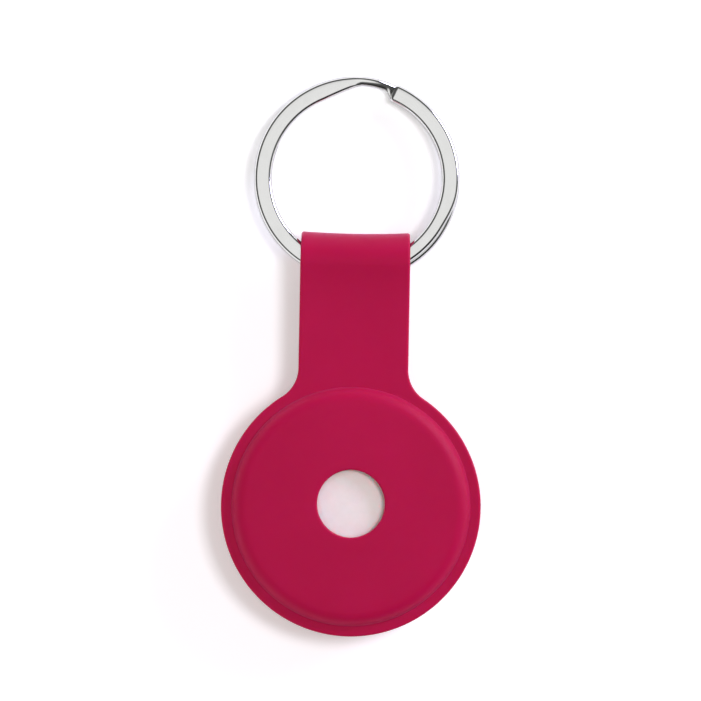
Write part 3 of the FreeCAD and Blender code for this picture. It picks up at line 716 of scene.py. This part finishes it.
# White table
TABLE_HALF = 2000.0
TABLE_DROP = 0.02
TABLE_GLOW = 0.3
table_mesh = bmesh.new()
add_grid(table_mesh, [
    [Vector((x, y, -TABLE_DROP)) for x in (-TABLE_HALF, TABLE_HALF)] for y in (-TABLE_HALF, TABLE_HALF)
])
table_data = bpy.data.meshes.new("table")
table_mesh.to_mesh(table_data)
table_mesh.free()
table = bpy.data.objects.new("table", table_data)
bpy.context.scene.collection.objects.link(table)
dress(table, make_table_paint())

# Soft studio: pale low walls, dark towards the lower right of the view, a dim band above them and a pale
# ceiling. Each band has its height as a share of the way up, and its level of light.
SKY_BANDS = ((0.0, 1.5), (0.28, 1.5), (0.36, 0.1), (0.88, 0.1), (0.94, 1.04), (1.0, 1.04))
DARK_TOWARD = math.radians(-60.0)
DARK_START_SHARE = 0.5
DARK_FULL_SHARE = 0.85
DARK_LEVEL = 0.12
world = bpy.data.worlds.new("studio")
bpy.context.scene.world = world
world.use_nodes = True
sky = world.node_tree
background = sky.nodes["Background"]
toward = sky.nodes.new("ShaderNodeTexCoord").outputs["Generated"]
parts = sky.nodes.new("ShaderNodeSeparateXYZ")
sky.links.new(toward, parts.inputs["Vector"])
bands = sky.nodes.new("ShaderNodeValToRGB")
stops = bands.color_ramp.elements
while len(stops) < len(SKY_BANDS):
    stops.new(1.0)
for stop, (height_share, level) in zip(stops, SKY_BANDS):
    stop.position = height_share
    stop.color = (level, level, level, 1)
sky.links.new(parts.outputs["Z"], bands.inputs["Fac"])
sky.links.new(bands.outputs["Color"], background.inputs["Color"])
facing = sky.nodes.new("ShaderNodeVectorMath")
facing.operation = "DOT_PRODUCT"
facing.inputs[1].default_value = (math.cos(DARK_TOWARD), math.sin(DARK_TOWARD), 0)
sky.links.new(toward, facing.inputs[0])
dimming = sky.nodes.new("ShaderNodeMapRange")
dimming.inputs["From Min"].default_value = DARK_START_SHARE
dimming.inputs["From Max"].default_value = DARK_FULL_SHARE
dimming.inputs["To Min"].default_value = 1.0
dimming.inputs["To Max"].default_value = DARK_LEVEL
sky.links.new(facing.outputs["Value"], dimming.inputs["Value"])
sky.links.new(dimming.outputs["Result"], background.inputs["Strength"])

# Lamps: a key lamp and a side panel at the upper right, a warm fill at the lower left, and a broad panel
# overhead
LAMP_AIM = Vector((0, 20, 0))


def add_lamp(name, place, size, power, colour, mirrored):
    """A soft lamp that faces the object, and is seen in bright metal where it is mirrored."""
    lamp = bpy.data.lights.new(name, "AREA")
    lamp.shape = "RECTANGLE"
    lamp.size = size[0] * MM
    lamp.size_y = size[1] * MM
    lamp.energy = power
    lamp.color = colour
    holder = bpy.data.objects.new(name, lamp)
    holder.visible_glossy = mirrored
    holder.location = Vector(place) * MM
    holder.rotation_euler = (Vector(place) - LAMP_AIM).to_track_quat("Z", "Y").to_euler()
    bpy.context.scene.collection.objects.link(holder)


add_lamp("key_lamp", place=(300, 120, 930), size=(220, 220), power=3.9,
         colour=(1.0, 0.97, 1.05), mirrored=False)
add_lamp("side_panel", place=(720, 540, 420), size=(500, 300), power=5.0,
         colour=(0.95, 0.92, 1.3), mirrored=True)
add_lamp("fill_lamp", place=(-500, -600, 500), size=(500, 500), power=1.0,
         colour=(1.0, 0.92, 0.75), mirrored=False)
add_lamp("top_panel", place=(-250, 60, 900), size=(700, 700), power=0.3,
         colour=(1.0, 0.97, 0.97), mirrored=False)

# Camera straight above, turned a little as the photograph is
CAMERA_SPOT = (-0.46, 22.7)
CAMERA_TURN = math.radians(1.05)
FRAME_WIDTH = 101.9
LENS = 500.0
SENSOR_WIDTH = 36.0
camera_data = bpy.data.cameras.new("camera")
camera_data.sensor_width = SENSOR_WIDTH
camera_data.lens = LENS
camera = bpy.data.objects.new("camera", camera_data)
camera_height = PARTING + SHEET + FRAME_WIDTH * LENS / SENSOR_WIDTH
camera.location = Vector((*CAMERA_SPOT, camera_height)) * MM
camera.rotation_euler = (0, 0, CAMERA_TURN)
bpy.context.scene.collection.objects.link(camera)
bpy.context.scene.camera = camera
bpy.context.scene.view_settings.view_transform = "Standard"
